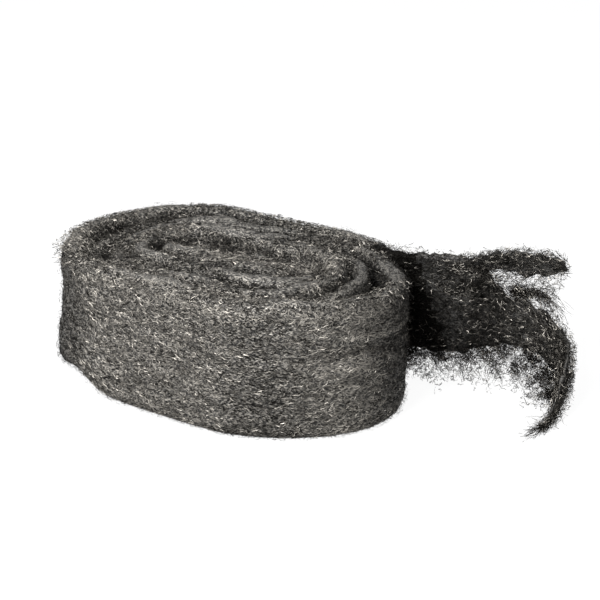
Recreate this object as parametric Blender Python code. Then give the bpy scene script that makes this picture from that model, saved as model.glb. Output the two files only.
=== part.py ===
"""A roll of steel wool that stands on its edge, with the outer end pulled loose and torn.

One strip of wool is wound clockwise, seen from above, into a flattened roll. The last turn leaves the back
of the roll, passes its right end and ends in two torn tufts: a short one at the top, and a long one that
curls round to the front and down to the surface. A torn fringe hangs from the loose end's lower edge.

Metres, +Z up. X runs along the roll towards the loose end and Y runs to the back. The origin is on the
surface that the roll stands on, under the middle of the part.
"""

import math

import bmesh
import bpy
from mathutils import Vector

# The strip
STRIP_WIDTH = 0.075
STRIP_THICKNESS = 0.0118
EDGE_ROUNDING = 0.0035  # of the two edges that stand on the surface
TOP_ROUNDING = 0.92  # of half the thickness
MOST_ROUNDING = 0.6  # of half the thickness, for the lower edges of a thin place
TURN_GAP = 0.0005  # left between one turn and the next

# The roll
TURNS = 5
CORE_HALF_LENGTH = 0.033  # of the flat fold that the strip is wound round
CORE_HALF_WIDTH = 0.0008
INNER_END = math.radians(100)  # direction of the strip's inner end, which lies against the back of the fold
PULL_AWAY = math.radians(74)  # direction of the roll's outside where the loose end leaves it
BELLY = 0.0025  # how far the outer turn swells at half its height
STEPS_PER_TURN = 44

# Where the outer turn's lower edge has spread outwards
FOOT_FLARE = 0.0058
FOOT_DIRECTION = math.radians(236)
FOOT_SPREAD = math.radians(42)
FOOT_HEIGHT = 0.62  # of the strip's width, up to where the spread ends
FOOT_WAIST = 0.35  # of the spread, by which the outer turn swells less above it

# Where the outer turns' lower edges have risen off the surface
LIFT = 0.0125
LIFT_DIRECTION = math.radians(233.5)
LIFT_REACH = math.radians(36)
LIFT_TURNS = 4  # over which the lift comes in

# The crease that pinches the outer turn at the roll's right end
CREASE_DEPTH = 0.0035
CREASE_DIRECTION = math.radians(-4)
CREASE_SPREAD = math.radians(30)
CREASE_HEIGHT = 0.61  # of the strip's width
CREASE_REACH = 0.06  # of the strip's width, above and below

# How far the strip's upper edge stands above its width, where that changes: turns from the inner end, rise
EDGE_RISES = (
    (0.0, -0.006),
    (0.5, -0.001),
    (1.0, -0.007),
    (1.5, -0.001),
    (2.0, 0.001),
    (2.5, -0.004),
    (3.0, -0.003),
    (3.5, -0.006),
    (4.0, -0.003),
    (4.5, 0.002),
    (4.88, 0.0005),
    (5.0, -0.0035),
)

# Where turns have come apart: the turn inside the opening, its direction, its spread and its width
OPENINGS = (
    (1, math.radians(232), math.radians(34), 0.0060),
    (3, math.radians(192), math.radians(34), 0.0040),
    (4, math.radians(0), math.radians(40), 0.0105),
)

# The loose end: arcs that follow one another, each with its length and the angle that it turns left
TAIL_ARCS = ((0.055, math.radians(24)), (0.014, math.radians(52)), (0.022, math.radians(-28)))
LOWER_TUFT_ARCS = ((0.024, math.radians(-55)), (0.033, math.radians(-52)), (0.036, math.radians(-25)))
UPPER_TUFT_ARCS = ((0.031, math.radians(-22)),)
LOOSE_STEP = 0.0065
TUFT_STEP = 0.0045
FRINGE_STEP = 0.004

# What the loose end, its upper tuft and its fringe narrow to, where that changes: the share of the way to the
# tip, then the heights of the lower and upper edge as shares of the strip's width, and the share of its
# thickness
TAIL_SHAPE = (
    (0.00, 0.00, 0.953, 1.00),
    (0.13, 0.15, 0.98, 0.95),
    (0.36, 0.19, 1.00, 0.89),
    (0.50, 0.21, 0.72, 0.85),
    (0.75, 0.08, 0.47, 0.76),
    (1.00, 0.00, 0.08, 0.30),
)
UPPER_TUFT_SHAPE = (
    (0.42, 0.61, 0.93, 0.51),
    (0.56, 0.61, 1.00, 0.64),
    (0.78, 0.64, 1.02, 0.71),
    (0.91, 0.72, 1.01, 0.68),
    (0.97, 0.77, 0.97, 0.51),
    (1.00, 0.83, 0.91, 0.22),
)

FRINGE_SHAPE = (
    (0.12, 0.12, 0.23, 0.20),
    (0.16, 0.03, 0.24, 0.26),
    (0.20, 0.11, 0.24, 0.26),
    (0.25, 0.05, 0.25, 0.26),
    (0.29, 0.12, 0.26, 0.26),
    (0.34, 0.02, 0.27, 0.26),
    (0.39, 0.10, 0.27, 0.26),
    (0.43, 0.04, 0.28, 0.26),
    (0.48, 0.13, 0.29, 0.26),
    (0.53, 0.02, 0.29, 0.26),
    (0.58, 0.09, 0.26, 0.26),
    (0.62, 0.03, 0.22, 0.24),
    (0.67, 0.08, 0.17, 0.20),
)

SOLE_ARC_STEPS = 2
TOP_ARC_STEPS = 3
OUTER_ROWS = (0.1, 0.35, 0.64, 0.78)  # points up the strip's outer side, as shares of its straight part
INNER_ROWS = (0.33, 0.64)
DENSE_STEPS = 7200


def smooth(share):
    """0 to 1 with no corner at either end."""
    share = min(1.0, max(0.0, share))
    return share * share * (3 - 2 * share)


def mix(first, last, share):
    return first + (last - first) * share


def heading(angle):
    return Vector((math.cos(angle), math.sin(angle)))


def core_point(direction):
    """The point of the oval core whose outside faces that direction."""
    across = CORE_HALF_LENGTH * math.cos(direction)
    along = CORE_HALF_WIDTH * math.sin(direction)
    reach = math.hypot(across, along)
    return Vector((CORE_HALF_LENGTH * across, CORE_HALF_WIDTH * along)) / reach


def opening_width(wound, direction):
    """What the openings inside the strip add to its distance from the core. wound is in turns."""
    width = 0.0
    for turn, middle, spread, most in OPENINGS:
        passed = ((PULL_AWAY - middle) / math.tau) % 1.0 + turn - 1
        if wound > passed + 0.5:
            off = math.remainder(direction - middle, math.tau)
            width += most * math.exp(-((off / spread) ** 2))
    return width


def distance_out(wound, direction):
    """Distance of the strip's middle from the core. Each turn moves out at the roll's left end."""
    turns = math.floor(wound)
    gained = max(0.0, turns + smooth(2 * (wound - turns) - 1))
    innermost = STRIP_THICKNESS / 2 + TURN_GAP
    return innermost + (STRIP_THICKNESS + TURN_GAP) * gained + opening_width(wound, direction)


def edge_rise(wound):
    for before, after in zip(EDGE_RISES, EDGE_RISES[1:]):
        if wound <= after[0]:
            break
    return mix(before[1], after[1], smooth((wound - before[0]) / (after[0] - before[0])))


def turn_directions():
    """One turn's directions, an equal distance apart along the outer turn, clockwise to PULL_AWAY."""
    angles = [PULL_AWAY + math.tau * (1 - i / DENSE_STEPS) for i in range(DENSE_STEPS + 1)]
    outer = [core_point(a) + distance_out(TURNS - 0.5, a) * heading(a) for a in angles]
    run = [0.0]
    for here, there in zip(outer, outer[1:]):
        run.append(run[-1] + (there - here).length)
    found, at = [], 0
    for i in range(STEPS_PER_TURN):
        while run[at] < run[-1] * i / STEPS_PER_TURN:
            at += 1
        found.append(angles[at])
    return found


class Station:
    """A place along the strip: its middle, the way its outer face looks, its thickness, its edges, how far it
    leans out at half its height and at its lower edge, and how far it is pinched in at the crease."""

    def __init__(self, middle, outward, thickness, lower, upper, belly, foot=0.0, pinch=0.0):
        self.middle = middle
        self.outward = outward
        self.thickness = thickness
        self.lower = lower
        self.upper = upper
        self.belly = belly
        self.foot = foot
        self.pinch = pinch

    def lean(self, height):
        share = (height - self.lower) / (self.upper - self.lower)
        below = (height / STRIP_WIDTH - CREASE_HEIGHT) / CREASE_REACH
        swell = self.belly * math.sin(math.pi * share) + self.foot * (1 - smooth(share / FOOT_HEIGHT))
        return swell - self.pinch * math.exp(-below * below)


def roll_stations():
    """The strip from its inner end to where it leaves the roll."""
    stations = []
    directions = turn_directions()
    for turn in range(-1, TURNS):
        for direction in directions:
            if turn < 0 and direction > INNER_END:
                continue
            wound = turn + (PULL_AWAY + math.tau - direction) / math.tau
            middle = core_point(direction) + distance_out(wound, direction) * heading(direction)
            away = math.remainder(direction - FOOT_DIRECTION, math.tau) / FOOT_SPREAD
            foot = FOOT_FLARE * math.exp(-away * away) * smooth(3 * (wound - TURNS + 1))
            aside = abs(math.remainder(direction - LIFT_DIRECTION, math.tau)) / LIFT_REACH
            lower = LIFT * smooth(1.5 * (1 - aside)) * smooth(1 + (wound - TURNS) / LIFT_TURNS)
            belly = BELLY * max(0.0, wound) / TURNS - FOOT_WAIST * foot
            off = math.remainder(direction - CREASE_DIRECTION, math.tau) / CREASE_SPREAD
            pinch = CREASE_DEPTH * math.exp(-off * off) * smooth(6 * (wound - TURNS + 1))
            upper = STRIP_WIDTH + edge_rise(wound)
            outward = heading(direction)
            stations.append(Station(middle, outward, STRIP_THICKNESS, lower, upper, belly, foot, pinch))
    return stations


def walk(start, angle, arcs, step):
    """Points and headings along arcs that follow one another: (distance, point, angle) of each."""
    found = [(0.0, start, angle)]
    point, gone = start, 0.0
    for length, turn in arcs:
        count = max(1, round(length / step))
        for _ in range(count):
            point = point + heading(angle + turn / count / 2) * (length / count)
            angle += turn / count
            gone += length / count
            found.append((gone, point, angle))
    return found


def shape_at(shape, way):
    """The lower edge, upper edge and thickness at that share of the way to the tip."""
    for before, after in zip(shape, shape[1:]):
        if way <= after[0]:
            break
    share = smooth((way - before[0]) / (after[0] - before[0]))
    lower, upper, thickness = [mix(first, last, share) for first, last in zip(before[1:], after[1:])]
    return lower * STRIP_WIDTH, upper * STRIP_WIDTH, thickness * STRIP_THICKNESS


def loose_stations(arcs, shape, step):
    """The loose end, or a tuft or fringe of it, from where its shape starts to where it stops."""
    start = core_point(PULL_AWAY) + distance_out(TURNS, PULL_AWAY) * heading(PULL_AWAY)
    length = sum(arc[0] for arc in arcs)
    stations = []
    for gone, point, angle in walk(start, PULL_AWAY - math.pi / 2, arcs, step):
        way = round(gone / length, 6)
        if shape[0][0] <= way <= shape[-1][0]:
            lower, upper, thickness = shape_at(shape, way)
            belly = BELLY * (1 - smooth(way / TAIL_SHAPE[1][0]))
            stations.append(Station(point, heading(angle + math.pi / 2), thickness, lower, upper, belly))
    return stations


def corner(across, height, radius, first, last, steps):
    """Points of a rounded corner as (across, height), from the first angle to the last, in degrees."""
    angles = [math.radians(mix(first, last, i / steps)) for i in range(steps + 1)]
    return [(across + radius * math.cos(a), height + radius * math.sin(a)) for a in angles]


def section(station):
    """The strip's outline across its length, as (outward, height): flat below and round above."""
    half = station.thickness / 2
    tall = station.upper - station.lower
    below = min(EDGE_ROUNDING, MOST_ROUNDING * half, tall / 3)
    above = min(TOP_ROUNDING * half, tall / 2.2)
    low, high = station.lower + below, station.upper - above
    outer, inner = half - below, half - above
    points = corner(outer, low, below, -90, 0, SOLE_ARC_STEPS)
    points += [(half, mix(low, high, share)) for share in OUTER_ROWS]
    points += corner(inner, high, above, 0, 90, TOP_ARC_STEPS)
    points += corner(-inner, high, above, 90, 180, TOP_ARC_STEPS)
    points += [(-half, mix(low, high, share)) for share in reversed(INNER_ROWS)]
    points += corner(-outer, low, below, 180, 270, SOLE_ARC_STEPS)
    return points


def swept(name, stations):
    """A closed mesh object whose section follows the stations."""
    shape = bmesh.new()
    rings = []
    for station in stations:
        ring = []
        for across, height in section(station):
            flat = station.middle + (across + station.lean(height)) * station.outward
            ring.append(shape.verts.new((flat.x, flat.y, height)))
        rings.append(ring)
    for here, there in zip(rings, rings[1:]):
        for i in range(len(here)):
            j = (i + 1) % len(here)
            shape.faces.new((here[i], here[j], there[j], there[i]))
    shape.faces.new(rings[0])
    shape.faces.new(rings[-1])
    bmesh.ops.recalc_face_normals(shape, faces=shape.faces)
    mesh = bpy.data.meshes.new(name)
    shape.to_mesh(mesh)
    shape.free()
    made = bpy.data.objects.new(name, mesh)
    bpy.context.scene.collection.objects.link(made)
    return made


def join(body, piece):
    """Fuses a piece into the body and leaves the piece as a guide."""
    piece.hide_render = True
    piece.display_type = "WIRE"
    union = body.modifiers.new("with " + piece.name, "BOOLEAN")
    union.operation = "UNION"
    union.solver = "EXACT"
    union.object = piece


def steel_wool():
    material = bpy.data.materials.new("steel_wool")
    material.use_nodes = True
    shader = material.node_tree.nodes["Principled BSDF"]
    shader.inputs["Base Color"].default_value = (0.075, 0.072, 0.068, 1.0)
    shader.inputs["Metallic"].default_value = 0.55
    shader.inputs["Roughness"].default_value = 0.55
    return material


def stand_on_origin(objects):
    """Moves the part so that the origin is under the middle of it."""
    bpy.context.view_layer.update()
    corners = [o.matrix_world @ v.co for o in objects for v in o.data.vertices]
    middle_x = (min(c.x for c in corners) + max(c.x for c in corners)) / 2
    middle_y = (min(c.y for c in corners) + max(c.y for c in corners)) / 2
    for o in objects:
        o.location = (-middle_x, -middle_y, 0.0)


def main():
    for old in list(bpy.data.objects):
        bpy.data.objects.remove(old)
    long_way = TAIL_ARCS + LOWER_TUFT_ARCS
    roll = swept("wool_roll", roll_stations() + loose_stations(long_way, TAIL_SHAPE, LOOSE_STEP))
    tuft = swept("upper_tuft", loose_stations(TAIL_ARCS + UPPER_TUFT_ARCS, UPPER_TUFT_SHAPE, TUFT_STEP))
    fringe = swept("fringe", loose_stations(long_way, FRINGE_SHAPE, FRINGE_STEP))
    roll.data.materials.append(steel_wool())
    stand_on_origin([roll, tuft, fringe])
    join(roll, tuft)
    join(roll, fringe)
    roll.data.shade_smooth()
    roll.data.set_sharp_from_angle(angle=math.radians(50))


main()
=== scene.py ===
"""The looks of a roll of steel wool that stands on its edge, with a torn loose end.

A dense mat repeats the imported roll's shape, finely enough to be lumpy and uneven, and stands for it. Thin
steel ribbons lie on the mat and weave in and out of it, mostly along the strip. Looser ones bridge the turns,
stand out as fuzz, and make the fringe under the loose end and the wisps of its tufts. Lengths are in metres.
"""

import math
from dataclasses import dataclass

import bpy
import numpy as np
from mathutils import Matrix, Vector


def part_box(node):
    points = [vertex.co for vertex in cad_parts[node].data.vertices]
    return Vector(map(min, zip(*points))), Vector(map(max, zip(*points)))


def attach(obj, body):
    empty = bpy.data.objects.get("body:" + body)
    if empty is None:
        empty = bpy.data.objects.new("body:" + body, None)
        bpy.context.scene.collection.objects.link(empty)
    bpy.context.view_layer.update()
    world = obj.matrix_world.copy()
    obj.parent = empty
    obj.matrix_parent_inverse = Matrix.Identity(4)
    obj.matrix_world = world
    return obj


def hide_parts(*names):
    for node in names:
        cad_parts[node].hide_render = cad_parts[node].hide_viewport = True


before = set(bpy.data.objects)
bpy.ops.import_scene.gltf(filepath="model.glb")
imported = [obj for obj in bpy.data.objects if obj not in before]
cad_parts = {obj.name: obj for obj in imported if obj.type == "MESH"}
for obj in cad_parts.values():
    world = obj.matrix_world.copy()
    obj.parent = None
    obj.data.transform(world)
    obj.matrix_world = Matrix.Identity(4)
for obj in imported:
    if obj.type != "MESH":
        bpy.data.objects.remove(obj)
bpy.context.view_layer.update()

# The strip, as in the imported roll
STRIP_WIDTH = 0.075
STRIP_THICKNESS = 0.0118
EDGE_ROUNDING = 0.0035
SOLE_ROUNDING = 0.6  # the most that the sole's rounding takes of half the thickness
TOP_ROUNDING = 0.92  # what the top's rounding takes of half the thickness
TURN_GAP = 0.0005
TURNS = 5
CORE_HALF_LENGTH = 0.033
CORE_HALF_WIDTH = 0.0008
INNER_END = math.radians(100)
PULL_AWAY = math.radians(74)
BELLY = 0.0025
FOOT_FLARE = 0.0058
FOOT_DIRECTION = math.radians(236)
FOOT_SPREAD = math.radians(42)
FOOT_HEIGHT = 0.62
FOOT_WAIST = 0.35
LIFT = 0.0125
LIFT_DIRECTION = math.radians(233.5)
LIFT_REACH = math.radians(36)
LIFT_TURNS = 4
CREASE_DEPTH = 0.0035
CREASE_DIRECTION = math.radians(-4)
CREASE_SPREAD = math.radians(30)
CREASE_HEIGHT = 0.61
CREASE_REACH = 0.06
EDGE_RISES = (
    (0.0, -0.006), (0.5, -0.001), (1.0, -0.007), (1.5, -0.001), (2.0, 0.001), (2.5, -0.004),
    (3.0, -0.003), (3.5, -0.006), (4.0, -0.003), (4.5, 0.002), (4.88, 0.0005), (5.0, -0.0035),
)
OPENINGS = (
    (1, math.radians(232), math.radians(34), 0.0060),
    (3, math.radians(192), math.radians(34), 0.0040),
    (4, math.radians(0), math.radians(40), 0.0105),
)
TAIL_ARCS = ((0.055, math.radians(24)), (0.014, math.radians(52)), (0.022, math.radians(-28)))
LOWER_TUFT_ARCS = ((0.024, math.radians(-55)), (0.033, math.radians(-52)), (0.036, math.radians(-25)))
UPPER_TUFT_ARCS = ((0.031, math.radians(-22)),)
TAIL_SHAPE = (
    (0.00, 0.00, 0.953, 1.00),
    (0.13, 0.15, 0.98, 0.95),
    (0.36, 0.19, 1.00, 0.89),
    (0.50, 0.21, 0.72, 0.85),
    (0.75, 0.08, 0.47, 0.76),
    (1.00, 0.00, 0.08, 0.30),
)
UPPER_TUFT_SHAPE = (
    (0.42, 0.61, 0.93, 0.51),
    (0.56, 0.61, 1.00, 0.64),
    (0.78, 0.64, 1.02, 0.71),
    (0.91, 0.72, 1.01, 0.68),
    (0.97, 0.77, 0.97, 0.51),
    (1.00, 0.83, 0.91, 0.22),
)

# The mat
RING_STEP = 0.0034
COLUMNS = 54  # the first half of them is on the strip's outer side
CORNER_STEPS = 9
MAT_INSET = 0.0006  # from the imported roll's surface, which the fibres bring back
DENSE_STEPS_PER_TURN = 20000
LOWER_INSET = 0.0020  # how far the mat stays inside the loose end's lower edge
LOWER_INSET_SHARE = 0.3  # of the loose end's height, at most
TUFT_INSETS = (0.020, 0.007)  # the same for the upper tuft's lower edge, at its root and near its end
TUFT_INSET_SHARE = 0.65
TUFT_INSET_WAYS = (0.60, 0.33)  # where the inset starts to narrow, and how much further it does
RAGGED_DEPTH = 0.0014
RAGGED_WAVES = (0.006, 0.020)
RAGGED_SHARE = 0.3  # of the loose end's height, at most, at its upper edge
LOOSE_THINNING = 0.68
LOOSE_START = 0.15  # how far along the loose end the mat has grown thin
NOTCH_WAY = 0.52  # where the mat stops short below the notch between the tufts
NOTCH_SPREAD = 0.09
NOTCH_DEPTH = 0.005
SHADED_WAYS = (0.33, 0.17)  # how far along the loose end the roll's deep shade reaches, below and above
SHADE_FADE = 0.1
SHADE_TILT = 3.0  # how much darker the fibres in it are

# Lumps of the mat: how many waves, their height, and their lengths along and round the strip
LUMPS = (18, 0.00035, (0.015, 0.070), (0.006, 0.020))
SMALL_LUMPS = (18, 0.0001, (0.006, 0.014), (0.006, 0.012))
TOP_WAVES = (8, 0.0007, (0.040, 0.160), (5.0, 9.0))
TOP_WAVE_REACH = 0.012  # below the strip's upper edge
FLAT_SOLE = 0.004  # the height up to which the lumps come in

# The fold in the outer turn: directions in degrees, and the heights of its edge, which gets a painted
# highlight with painted shade below it
FOLD = ((-56, 0.0730), (-48, 0.0700), (-34, 0.0600), (-27, 0.0540), (-14, 0.0535), (12, 0.0515))
FOLD_EDGE = 0.0015
FOLD_PUSH = 0.0006
FOLD_FADES = (10, 20)  # degrees over which it comes in and dies away
FOLD_SHADE = 0.030  # how far the shade reaches below the edge
FOLD_SHADE_FADES = (0.004, 0.014)  # just below the edge, and at the shade's foot
FOLD_SHADE_START = -18
FOLD_SHADE_FADE = 16
FOLD_TILTS = (1.1, 0.45)  # how much lighter its edge is, as a painted highlight, and how much darker its shade, as painted shade

# The web of fibres over the turns
WEB_CELL = 0.001
WEB_MARGIN = 0.012  # round the turns
WEB_SECTION_STEPS = 15
WEB_FULLNESS = (0.1, 0.55)  # where the web starts, and how much fuller it is where it is whole
WEB_WIDE_SHARE = 0.55  # of its fibres, which lie in any direction
# The web's fibres get painted light on its ridges and painted shade in its hollows
WEB_RELIEF = 0.0015  # where the tilt below is full
WEB_RELIEF_TILT = 0.35
WEB_BLUR = 0.0032
WEB_WIDE_BLUR = 0.008
WEB_GROWTH = 3  # cells by which the tops grow before they are blurred
WEB_DROP = 0.0004
HOLLOW_DEPTH = 0.0018  # where the top is darker by 1
TOP_TILT = -0.1  # of the whole top

# Hollows and ridges of the top, with painted shade in the hollows and painted light on the ridges: centre,
# half length along x, half width along y, and how much lighter
TOP_SHADES = (
    (-0.025, -0.041, 0.036, 0.008, -0.5),
    (-0.004, -0.036, 0.018, 0.009, -0.9),
    (-0.077, 0.028, 0.036, 0.013, -1.1),
    (-0.062, 0.028, 0.022, 0.014, -1.6),
    (-0.122, -0.048, 0.014, 0.014, 0.9),
    (-0.039, 0.019, 0.030, 0.007, -0.5),
    (-0.081, -0.026, 0.014, 0.006, -0.7),
    (0.040, 0.009, 0.014, 0.022, -0.9),
    (0.056, 0.023, 0.014, 0.014, -1.6),
    (-0.001, -0.002, 0.022, 0.007, 1.0),
    (-0.048, -0.013, 0.019, 0.007, 1.3),
)

# Upright bands of painted light and shade on the outer turn: direction in degrees, half width, and how much
# lighter above and below
PAINTED_FRONT_BANDS = (
    (-124, 15, -0.60, -1.50),
    (-94, 14, 0.16, 0.20),
    (-65, 16, -0.60, -0.55),
    (-26, 14, 0.30, 0.85),
    (14, 14, -0.75, -0.30),
    (38, 15, -0.90, 0.00),
)
BAND_HEIGHT = 0.046
BAND_BLEND = 0.012

# A painted highlight on the crest along the outer turn's upper edge, which ends at a direction in degrees
PAINTED_CREST_TILT = 0.55
CREST_DEPTH = 0.015
CREST_BLEND = 0.006
CREST_END = 5
CREST_FADE = 20

TAIL_LENGTH = sum(length for length, _ in TAIL_ARCS)
LOWER_TUFT_LENGTH = sum(length for length, _ in LOWER_TUFT_ARCS)
UPPER_TUFT_LENGTH = sum(length for length, _ in UPPER_TUFT_ARCS)
LOOSE_LENGTH = TAIL_LENGTH + LOWER_TUFT_LENGTH

# Zones of the roll's surface, by how far they reach down from its top or up from its sole
TOP_EDGE = 0.004
NEAR_TOP = 0.016
RIM_DEPTH = 0.011
POCKET_DEPTH = 0.04
POCKET_SHARE = 0.25  # of what the same area of rim has
SOLE_HEIGHT = 0.004
RIM_FUZZ = 1.5  # fuzz, next to the same area of the front
LOOSE_FUZZ = 0.5
SOLE_FUZZ = 3.0

# Patches of lighter and darker fibres, given as the lumps are
PATCHES = (16, 0.13, (0.012, 0.060), (0.004, 0.014))

# Fibres
OUTSIDE_COUNT = 23000  # in each of two pieces
RIMS_COUNT = 12000
WEB_COUNT = 22000
LOOSE_SKIN_COUNT = 10500
LOOSE_PAINTED_SHADE_COUNT = 4200
LOOSE_BACK_COUNT = 1800
LOOSE_END_COUNT = 8000
UPPER_TUFT_COUNT = 3800
SOLES_COUNT = 1500
FUZZ_COUNT = 14000  # in each of two pieces
FINE_STEP = 0.0005  # of the strip that free fibres start from
WIDE_SHARE = 0.18  # of the laid fibres, which lie in any direction
STEP_SPREAD = (0.6, 1.5)
LOWEST = 0.0001
LOWEST_FREE = 0.0003
RIBBON_TIP = 0.35  # its width there, as a share
LOOSE_SKIN_TILT = -0.25
NEAR_ROLL_END = 0.435  # how far along the loose end the near-black fibres of painted shade reach
NEAR_ROLL_FADE = 0.3

# Steels from dark to light, and the share of each in a kind of fibre
STEEL_NAME = "steel_%d"
STEEL_SHADES = (0.004, 0.02, 0.055, 0.13, 0.21)
STEEL_ROUGHNESS = 0.6
ROLL_TONES = (0.30, 0.20, 0.18, 0.19, 0.13)
WEB_TONES = (0.38, 0.18, 0.12, 0.17, 0.15)
LOOSE_SKIN_TONES = (0.40, 0.16, 0.10, 0.17, 0.17)
LOOSE_TONES = (0.46, 0.20, 0.13, 0.13, 0.08)
# Near-black tones that paint the roll's shade on the loose end
LOOSE_PAINTED_SHADE_TONES = (0.93, 0.06, 0.01, 0.0, 0.0)
FUZZ_TONES = (0.15, 0.25, 0.25, 0.2, 0.15)
# Dark tones that paint the shade in the pockets between the turns
GAP_PAINTED_SHADE_TONES = (0.7, 0.2, 0.1, 0.0, 0.0)
FRINGE_TONES = (0.5, 0.3, 0.12, 0.06, 0.02)
NOTCH_NET_TONES = (0.35, 0.3, 0.2, 0.1, 0.05)
NOTCH_STRAND_TONES = (0.4, 0.4, 0.2, 0.0, 0.0)
TIP_TONES = (0.3, 0.4, 0.2, 0.1, 0.0)

# The mat's streaks: their slant, and how many go to a metre along and across the strip
STREAKS = ((0.0, 420.0, 1250.0), (0.5, 450.0, 1350.0), (-0.55, 450.0, 1350.0))
STREAK_LEVELS = (0.53, 0.68)
STREAK_DARK = (0.0032, 0.003, 0.0027, 1.0)
STREAK_BUMP = 0.0008
RIPPLES = 320.0  # to a metre
RIPPLE_SHIFT = (0.0015, 0.0035, 0.0)
MAT_LIGHT = 0.11
# Darker copies of the mat that paint shade: over the loose end, and the roll's deep shade on it
PAINTED_SHADE_LOOSE_MAT_LIGHT = 0.025
SHADED_MAT_LIGHT = 0.005
WARMTH = (1.07, 1.0, 0.89)

# Camera, fitted to the photo
AIM = (-0.01718, 0.02232, 0.0375)
AZIMUTH = math.radians(33)
ELEVATION = math.radians(22.2)
DISTANCE = 0.702
LENS = 72
SENSOR = 36

# The floor is a softly lit white table, so it takes little of the lamps' light
FLOOR_SIZE = 60.0
FLOOR_SHADE = 0.03
FLOOR_GLOW = 0.93


def smooth(share):
    share = np.clip(share, 0.0, 1.0)
    return share * share * (3 - 2 * share)


def mix(first, last, share):
    return first + (last - first) * share


def eased(keys, values, place):
    """The value at each place, which eases from one key's value to the next one's."""
    after = np.clip(np.searchsorted(keys, place), 1, len(keys) - 1)
    share = smooth((place - keys[after - 1]) / (keys[after] - keys[after - 1]))
    return mix(values[after - 1], values[after], share)


def bump(away):
    """1 in the middle, and less the further away."""
    return np.exp(-away ** 2)


def heading(angle):
    return np.stack([np.cos(angle), np.sin(angle)], -1)


def unit(vectors):
    return vectors / np.maximum(np.linalg.norm(vectors, axis=-1, keepdims=True), 1e-12)


def between(grid, row, column, beside, down, across):
    """The grid's value between a row and the next, and between a column and the one beside it."""
    near = mix(grid[row, column], grid[row, beside], across)
    return mix(near, mix(grid[row + 1, column], grid[row + 1, beside], across), down)


def run_along(points):
    """How far each point is from the first one, along the line that they make."""
    return np.concatenate([[0.0], np.cumsum(np.linalg.norm(np.diff(points, axis=0), axis=1))])


def ahead(outward, rise):
    """The direction along the strip where it faces outward, with that rise."""
    return np.stack([outward[..., 1], -outward[..., 0], rise + np.zeros(len(outward))], -1)


def add_object(name, data):
    made = bpy.data.objects.new(name, data)
    bpy.context.scene.collection.objects.link(made)
    return made


# The strip's path

def core_point(direction):
    across = CORE_HALF_LENGTH * np.cos(direction)
    along = CORE_HALF_WIDTH * np.sin(direction)
    point = np.stack([CORE_HALF_LENGTH * across, CORE_HALF_WIDTH * along], -1)
    return point / np.hypot(across, along)[..., None]


def turned_from(direction, middle):
    return (direction - middle + math.pi) % math.tau - math.pi


def distance_out(wound, direction):
    turns = np.floor(wound)
    gained = np.maximum(0.0, turns + smooth(2 * (wound - turns) - 1))
    distance = STRIP_THICKNESS / 2 + TURN_GAP + (STRIP_THICKNESS + TURN_GAP) * gained
    for turn, middle, spread, most in OPENINGS:
        passed = ((PULL_AWAY - middle) / math.tau) % 1.0 + turn - 1
        opened = most * bump(turned_from(direction, middle) / spread)
        distance = distance + np.where(wound > passed + 0.5, opened, 0.0)
    return distance


@dataclass
class Strip:
    """Stations along the strip: its middle, outward direction, thickness, edges, lean, crease and turns."""

    middle: np.ndarray
    outward: np.ndarray
    thickness: np.ndarray
    lower: np.ndarray
    upper: np.ndarray
    belly: np.ndarray
    foot: np.ndarray
    pinch: np.ndarray
    wound: np.ndarray

    def joined(self, other):
        pairs = zip(self.__dict__.values(), other.__dict__.values())
        return Strip(*[np.concatenate([mine, theirs]) for mine, theirs in pairs])

    def evenly(self, step):
        """The same strip with its stations that far apart."""
        run = run_along(self.middle)
        places = np.linspace(0.0, run[-1], max(3, round(run[-1] / step) + 1))
        picked = []
        for values in self.__dict__.values():
            if values.ndim == 1:
                picked.append(np.interp(places, run, values))
            else:
                picked.append(np.stack([np.interp(places, run, values[:, k]) for k in range(2)], -1))
        return Strip(*picked)


def rolled_strip():
    first = (PULL_AWAY - INNER_END) / math.tau
    wound = np.linspace(first, TURNS, round((TURNS - first) * DENSE_STEPS_PER_TURN))[:-1]
    direction = PULL_AWAY - math.tau * wound
    middle = core_point(direction) + distance_out(wound, direction)[:, None] * heading(direction)
    foot = FOOT_FLARE * bump(turned_from(direction, FOOT_DIRECTION) / FOOT_SPREAD)
    foot = foot * smooth(3 * (wound - TURNS + 1))
    belly = BELLY * np.maximum(0.0, wound) / TURNS - FOOT_WAIST * foot
    pinch = CREASE_DEPTH * bump(turned_from(direction, CREASE_DIRECTION) / CREASE_SPREAD)
    pinch = pinch * smooth(6 * (wound - TURNS + 1))
    aside = np.abs(turned_from(direction, LIFT_DIRECTION)) / LIFT_REACH
    lower = LIFT * smooth(1.5 * (1 - aside)) * smooth(1 + (wound - TURNS) / LIFT_TURNS)
    upper = STRIP_WIDTH + eased(*np.array(EDGE_RISES).T, wound)
    thickness = np.full_like(wound, STRIP_THICKNESS)
    return Strip(middle, heading(direction), thickness, lower, upper, belly, foot, pinch, wound)


def loose_strip(arcs, shape):
    """The loose end, or a tuft of it, from where its shape starts to its tip."""
    angle = PULL_AWAY - math.pi / 2
    last_turn = np.array([float(TURNS)])
    pulled = np.array([PULL_AWAY])
    point = (core_point(pulled) + distance_out(last_turn, pulled)[:, None] * heading(pulled))[0]
    points, angles = [point], [angle]
    step = RING_STEP / 8
    for length, turn in arcs:
        count = round(length / step)
        for _ in range(count):
            point = point + heading(angle + turn / count / 2) * (length / count)
            angle += turn / count
            points.append(point)
            angles.append(angle)
    points, angles = np.array(points), np.array(angles)
    way = np.linspace(0.0, 1.0, len(points))
    keys, *shapes = np.array(shape).T
    lower, upper, thickness = [eased(keys, values, way) for values in shapes]
    kept = way >= shape[0][0]
    belly = BELLY * (1 - smooth(way / TAIL_SHAPE[1][0]))
    level = np.zeros_like(way)
    strip = (points, heading(angles + math.pi / 2), thickness * STRIP_THICKNESS, lower * STRIP_WIDTH,
             upper * STRIP_WIDTH, belly, level, level, TURNS + way)
    return Strip(*[values[kept] for values in strip])


# Noise along the strip

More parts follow.
